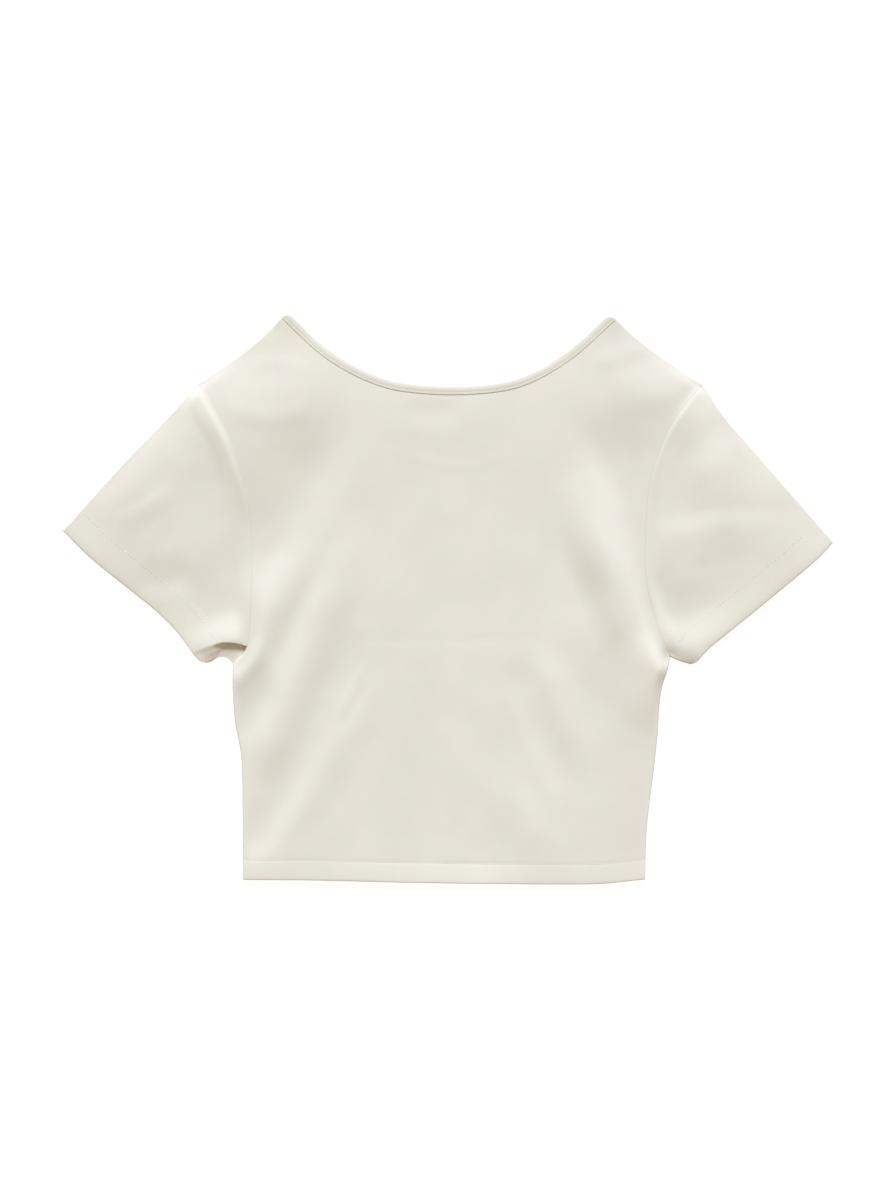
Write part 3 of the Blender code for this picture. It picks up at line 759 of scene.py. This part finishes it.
def sleeve_height(place, fold, hem, seam):
    """Outer faces of the sleeve's upper and lower layer, and where they meet at its edges."""
    height = upper_height(place, "sleeve")
    middle = np.clip(height / 2.0, 1.0, 1.9)
    from_hem = hem.distance(place)
    height = height - 0.25 * np.clip(1.0 - from_hem / HEM_EDGE_ROLL, 0.0, 1.0) ** 2
    height -= 0.1 * stitch_dent(from_hem - SLEEVE_HEM_LINE) + seam_sink(from_armhole(place))
    roll = rounded(np.minimum(fold.distance(place), seam.distance(place)), EDGE_RADIUS)
    upper = middle + (height - middle) * roll
    lower = middle + (seam_sink(from_armhole(place)) - middle) * roll
    return upper, lower, middle


def joined_ring(over, under):
    """The upper layer's points, then the lower layer's back to the fold."""
    under[:, 0] = over[:, 0]
    under[:, -1] = over[:, -1]
    return np.concatenate((over, under[:, -2::-1]), axis=1)


sleeve_jersey = knit("cream_sleeve_jersey", WARM_CREAM, COOL_CREAM, open_depth=1.0)


def sleeve(name, node, ring, facing, grain):
    face = turned_up(ring, SLEEVE_HEM_FOLD_ROWS, facing=facing, ring=True)
    piece = cloth(name, face, sleeve_jersey, facing=facing, grain=grain, ring=True)
    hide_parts(node)
    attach(piece, "root")


plan, _ = sleeve_plan(right_armhole, right_sleeve_fold, right_sleeve_hem, right_sleeve_seam, -1.0)
upper, lower, _ = sleeve_height(plan, right_sleeve_fold, right_sleeve_hem, right_sleeve_seam)
ring = joined_ring(with_height(plan, upper), with_height(plan, lower))
sleeve("sleeve_right_cloth", "sleeve_right", ring, facing=-1.0, grain=SLEEVE_GRAIN)

# The left sleeve was laid down with a small pleat at the underarm: its upper layer stops
# short in a rounded fold, and under that the lower ply runs on in shadow to the seam.
PLEAT_OUT = (0.0, 0.2, 0.4, 0.52, 0.64, 0.8, 1.0)
PLEAT_WIDTH = (18.6, 14.4, 12.0, 10.2, 9.0, 11.0, 13.0)
PLEAT_DROP = (4.8, 4.8, 3.9, 2.4, 1.2, 0.8, 0.3)
PLEAT_ACROSS = (0.0, 0.25, 0.3, -0.2, -0.6, -0.6, -0.1, 0.9)
PLEAT_SOFT_ACROSS = (-2.4, -1.6, -0.9, -0.3, 0.4, 1.1, 1.9, 3.0)
PLEAT_DEPTH = (0.0, 0.06, 0.2, 0.4, 0.6, 0.8, 0.95, 1.0)
LOWER_PLY = 1.2
PLY_STEPS = 6


def pleated(plan, out):
    """Moves the left sleeve's columns so that they follow the pleat, and adds its drop.

    Gives the plan of the upper layer, that of the lower layer, and the drop.
    """
    widths = np.interp(out, PLEAT_OUT, PLEAT_WIDTH)
    drops = np.interp(out, PLEAT_OUT, PLEAT_DROP)
    near = np.array(EDGE_ROWS)
    over_rows = []
    under_rows = []
    falls = []
    for row, width, drop in zip(plan, widths, drops):
        reach = reach_along(row)
        end = reach[-1]
        lip = end - width
        sharp = np.clip((drop - 1.2) / 3.0, 0.0, 1.0)
        across = lip + sharp * np.array(PLEAT_ACROSS) + (1.0 - sharp) * np.array(PLEAT_SOFT_ACROSS)
        stops = np.concatenate((
            near, even_steps(near[-1], across[0] - near[-1], ARMHOLE_STEPS - 6)[:-1],
            across[0] - near[:0:-1], across,
            even_steps(across[-1], end - 1.6, PLY_STEPS)[:-1], end - near[4::-1]))
        before = len(stops) - len(across) - PLY_STEPS + 1 - 5
        fall = np.concatenate((np.zeros(before), PLEAT_DEPTH, np.ones(PLY_STEPS + 4)))
        for rows, ends in ((over_rows, stops), (under_rows, np.sort(stops))):
            rows.append(points_at(ends, reach, row))
        falls.append(fall * drop)
    return np.array(over_rows), np.array(under_rows), np.array(falls)


plan, out = sleeve_plan(left_armhole, left_sleeve_fold, left_sleeve_hem, left_sleeve_seam, 1.0)
over_plan, under_plan, fall = pleated(plan, out)
upper, _, middle = sleeve_height(over_plan, left_sleeve_fold, left_sleeve_hem, left_sleeve_seam)
upper = np.maximum(upper - fall, np.minimum(upper, np.maximum(middle, LOWER_PLY)))
_, lower, _ = sleeve_height(under_plan, left_sleeve_fold, left_sleeve_hem, left_sleeve_seam)
ring = joined_ring(with_height(over_plan, upper), with_height(under_plan, lower))
sleeve("sleeve_left_cloth", "sleeve_left", ring, facing=1.0, grain=-SLEEVE_GRAIN)

# ------------------------------------------------------------------------------------------
# Neck binding. A strip of the jersey folded over the raw neck edges of both panels and
# stitched through near its inner edge. It runs on through the shoulder seams, so the back
# and the front length meet there in a small rounded corner.
# ------------------------------------------------------------------------------------------

BINDING_WALL = 0.5
BINDING_ROUND = 0.96
BINDING_LINE = 5.7
BINDING_STEP = 2.0
BINDING_END_ROWS = (0.0, 0.1, 0.3, 0.7, 1.3, 2.0, 2.7, 3.4, 4.2, 5.2)

UNDER_SIDE = ((BINDING_WIDTH, 0.4), (7.3, 0.52), (7.0, 0.66), (6.5, 0.76), (6.1, 0.8),
              (BINDING_LINE, 0.78), (5.2, 0.84), (4.0, 0.93), (2.6, 0.96))
TOP_SIDE = ((1.7, 1.02), (2.4, 1.08), (3.2, 1.08), (4.0, 1.0), (4.7, 0.9), (5.2, 0.8),
            (BINDING_LINE, 0.75), (6.1, 0.77), (6.5, 0.77), (6.9, 0.7), (7.2, 0.56),
            (BINDING_WIDTH, 0.4))


def binding_section(domed):
    """From the strip's lip below, round the neck's edge, to its lip on top: depth, height."""
    turns = np.radians(np.linspace(-90.0, 90.0, 11))
    curve = BINDING_ROUND * np.stack((1.0 - np.cos(turns), np.sin(turns)), axis=-1)
    below = np.array(UNDER_SIDE) * (1.0, -1.0)
    above = np.array(TOP_SIDE if domed else UNDER_SIDE[::-1])
    return np.vstack((below, curve, above))


def end_roll(neck, share):
    """1 along the strip, less where its end goes round the shoulder."""
    from_end = np.minimum(share, 1.0 - share) * neck.length
    return 0.35 + 0.65 * rounded(from_end, 2.6)


def back_binding_height(share, plan, section_height):
    middle = seam_middle(plan) + 0.04
    thinner = 1.0 - 0.12 * (2.0 * share - 1.0) ** 2
    height = upper_height(plan, "body") - WALL / 2.0 + thinner * section_height
    return middle + (height - middle) * end_roll(back_neck, share)


def front_binding_height(share, plan, section_height):
    middle = seam_middle(plan) - 0.04
    height = BINDING_HALF + section_height
    return middle + (height - middle) * end_roll(front_neck, share)


def binding(name, node, neck, height_at, facing):
    section = binding_section(domed=facing > 0.0)
    if facing < 0.0:
        section = section * (1.0, -1.0)
    near = np.array(BINDING_END_ROWS) / neck.length
    count = round(neck.length / BINDING_STEP)
    share = np.concatenate((near, even_steps(near[-1], 1.0 - near[-1], count)[:-1],
                            1.0 - near[::-1]))[None, :]
    depth = section[:, :1]
    plan = neck_points(neck, share, depth + 0.0 * share)
    height = height_at(share, plan, section[:, 1:])
    face = with_height(plan, height)
    piece = cloth(name, face, binding_jersey, facing=-facing, wall=BINDING_WALL)
    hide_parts(node)
    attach(piece, "root")


binding_jersey = knit("cream_binding", WARM_CREAM, COOL_CREAM, open_depth=0.1)
binding("neck_binding_back_strip", "neck_binding_back", back_neck, back_binding_height,
        facing=1.0)
binding("neck_binding_front_strip", "neck_binding_front", front_neck, front_binding_height,
        facing=-1.0)

# ------------------------------------------------------------------------------------------
# Sewing. Cream cotton thread: a line of lockstitch round each hem and along the binding,
# and the overlock loops that show at the bottom of the armhole, side and shoulder seams.
# ------------------------------------------------------------------------------------------

THREAD_HALF = 0.13
STITCH_PITCH = 3.0
STITCH_LENGTH = 2.5
LOOP_LENGTH = 1.6
SEAM_STITCH = 1.2

thread = bpy.data.materials.new("cream_thread")
thread.use_nodes = True
thread_shader = thread.node_tree.nodes["Principled BSDF"]
thread_shader.inputs["Base Color"].default_value = (0.84, 0.81, 0.74, 1.0)
thread_shader.inputs["Roughness"].default_value = 0.8
thread_shader.inputs["Specular IOR Level"].default_value = 0.25
thread_shader.inputs["Sheen Weight"].default_value = 0.1


def sewn(name, centres, directions, length):
    """A row of stitches: short bars of thread at the centres, along the directions."""
    maker = bmesh.new()
    for centre, direction in zip(centres, directions):
        turn = Vector(direction).to_track_quat("X", "Z")
        size = Vector((length / 2.0, THREAD_HALF, THREAD_HALF)) * MM
        place = Matrix.LocRotScale(Vector(centre) * MM, turn, size)
        bmesh.ops.create_uvsphere(maker, u_segments=6, v_segments=4, radius=1.0, matrix=place)
    mesh = bpy.data.meshes.new(name)
    maker.to_mesh(mesh)
    maker.free()
    mesh.materials.append(thread)
    mesh.shade_smooth()
    piece = bpy.data.objects.new(name, mesh)
    bpy.context.scene.collection.objects.link(piece)
    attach(piece, "root")


def topstitch(name, track):
    """Even stitches along a track of points."""
    reach = reach_along(track)
    centres = points_at(np.arange(STITCH_PITCH / 2.0, reach[-1], STITCH_PITCH), reach, track)
    sewn(name, centres, unit(np.gradient(centres, axis=0)), STITCH_LENGTH)


shares = np.linspace(0.006, 0.994, 300)
hem_track = bottom_hem.at(shares) + (0.0, HEM_LINE)
from_side = np.minimum(left_side.distance(hem_track), right_side.distance(hem_track))
hem_track = hem_track[from_side > 1.0]
topstitch("hem_stitches_back", with_height(hem_track, back_height(hem_track) + 0.05))
topstitch("hem_stitches_front", with_height(hem_track, front_height(hem_track) + 0.1))


def sleeve_hem_track(hem, fold, seam):
    shares = np.linspace(0.01, 0.99, 300)
    inward = hem.left_of(shares) if hem is left_sleeve_hem else -hem.left_of(shares)
    track = hem.at(shares) + inward * SLEEVE_HEM_LINE
    clear = np.minimum(fold.distance(track), seam.distance(track))
    return track[(clear > 2.0) & (from_armhole(track) > 3.0)]


for side, parts in (("left", (left_sleeve_hem, left_sleeve_fold, left_sleeve_seam)),
                    ("right", (right_sleeve_hem, right_sleeve_fold, right_sleeve_seam))):
    hem, fold, seam = parts
    track = sleeve_hem_track(hem, fold, seam)
    upper, lower, _ = sleeve_height(track, fold, hem, seam)
    topstitch(f"sleeve_hem_stitches_{side}_upper", with_height(track, upper + 0.04))
    topstitch(f"sleeve_hem_stitches_{side}_lower", with_height(track, lower + 0.1))

for side, neck, height_at, sign in (("back", back_neck, back_binding_height, 1.0),
                                    ("front", front_neck, front_binding_height, -1.0)):
    shares = np.linspace(0.012, 0.988, 400)
    track = neck_points(neck, shares, np.full(400, BINDING_LINE))
    lift = sign * (0.75 if sign > 0.0 else 0.8)
    topstitch(f"binding_stitches_{side}", with_height(track, height_at(shares, track, lift)))

for side, armhole in (("left", left_armhole), ("right", right_armhole)):
    stops = np.arange(4.0, armhole.length - 3.0, STITCH_PITCH) / armhole.length
    centres = armhole.at(stops)
    across = with_height(armhole.left_of(stops), np.zeros(len(stops)))
    upper = upper_height(centres, "body") - SEAM_SINK - 0.1
    lower = np.full(len(stops), 0.7)
    sewn(f"armhole_seam_{side}_upper", with_height(centres, upper - 0.1), across, LOOP_LENGTH)
    sewn(f"armhole_seam_{side}_lower", with_height(centres, lower), across, LOOP_LENGTH)

for name, seam in (("side_left", left_side), ("side_right", right_side),
                   ("shoulder_left", left_shoulder), ("shoulder_right", right_shoulder)):
    centres = seam.at(np.arange(4.0, seam.length - 8.0, STITCH_PITCH) / seam.length)
    upright = np.tile((0.0, 0.0, 1.0), (len(centres), 1))
    sewn(f"{name}_seam", with_height(centres, seam_middle(centres)), upright, SEAM_STITCH)

# ------------------------------------------------------------------------------------------
# Studio. A plain white table, one large soft light beyond the neckline and an even white
# fill, seen from straight above.
# ------------------------------------------------------------------------------------------

table_maker = bmesh.new()
bmesh.ops.create_grid(table_maker, x_segments=1, y_segments=1, size=3.0)
for vert in table_maker.verts:
    vert.co.z = -0.0001
table_mesh = bpy.data.meshes.new("table")
table_maker.to_mesh(table_mesh)
table_maker.free()
table = bpy.data.objects.new("table", table_mesh)
bpy.context.scene.collection.objects.link(table)

table_white = bpy.data.materials.new("table_white")
table_white.use_nodes = True
table_shader = table_white.node_tree.nodes["Principled BSDF"]
table_shader.inputs["Base Color"].default_value = (0.3, 0.3, 0.3, 1.0)
table_shader.inputs["Roughness"].default_value = 1.0
table_shader.inputs["Specular IOR Level"].default_value = 0.0
table_shader.inputs["Emission Color"].default_value = (1.0, 1.0, 1.0, 1.0)
table_shader.inputs["Emission Strength"].default_value = 0.88
table_mesh.materials.append(table_white)

key_light = bpy.data.lights.new("key_light", "SUN")
key_light.angle = math.radians(24.0)
key_light.energy = 4.8
key_light.color = (0.786, 0.880, 1.0)
key = bpy.data.objects.new("key_light", key_light)
key_direction = Vector((0.0, math.cos(math.radians(30.0)), math.sin(math.radians(30.0))))
key.location = key_direction * 2.5
key.rotation_euler = key_direction.to_track_quat("Z", "Y").to_euler()
bpy.context.scene.collection.objects.link(key)

world = bpy.data.worlds.new("studio")
world.use_nodes = True
world.node_tree.nodes["Background"].inputs["Color"].default_value = (1.0, 0.815, 0.582, 1.0)
world.node_tree.nodes["Background"].inputs["Strength"].default_value = 0.404
bpy.context.scene.world = world

lens = bpy.data.cameras.new("camera")
lens.lens = 100.0
lens.sensor_width = 36.0
lens.clip_start = 0.1
lens.clip_end = 20.0
camera = bpy.data.objects.new("camera", lens)
camera.location = (0.0, -0.0004, 2.669)
bpy.context.scene.collection.objects.link(camera)
bpy.context.scene.camera = camera
bpy.context.scene.view_settings.view_transform = "Standard"
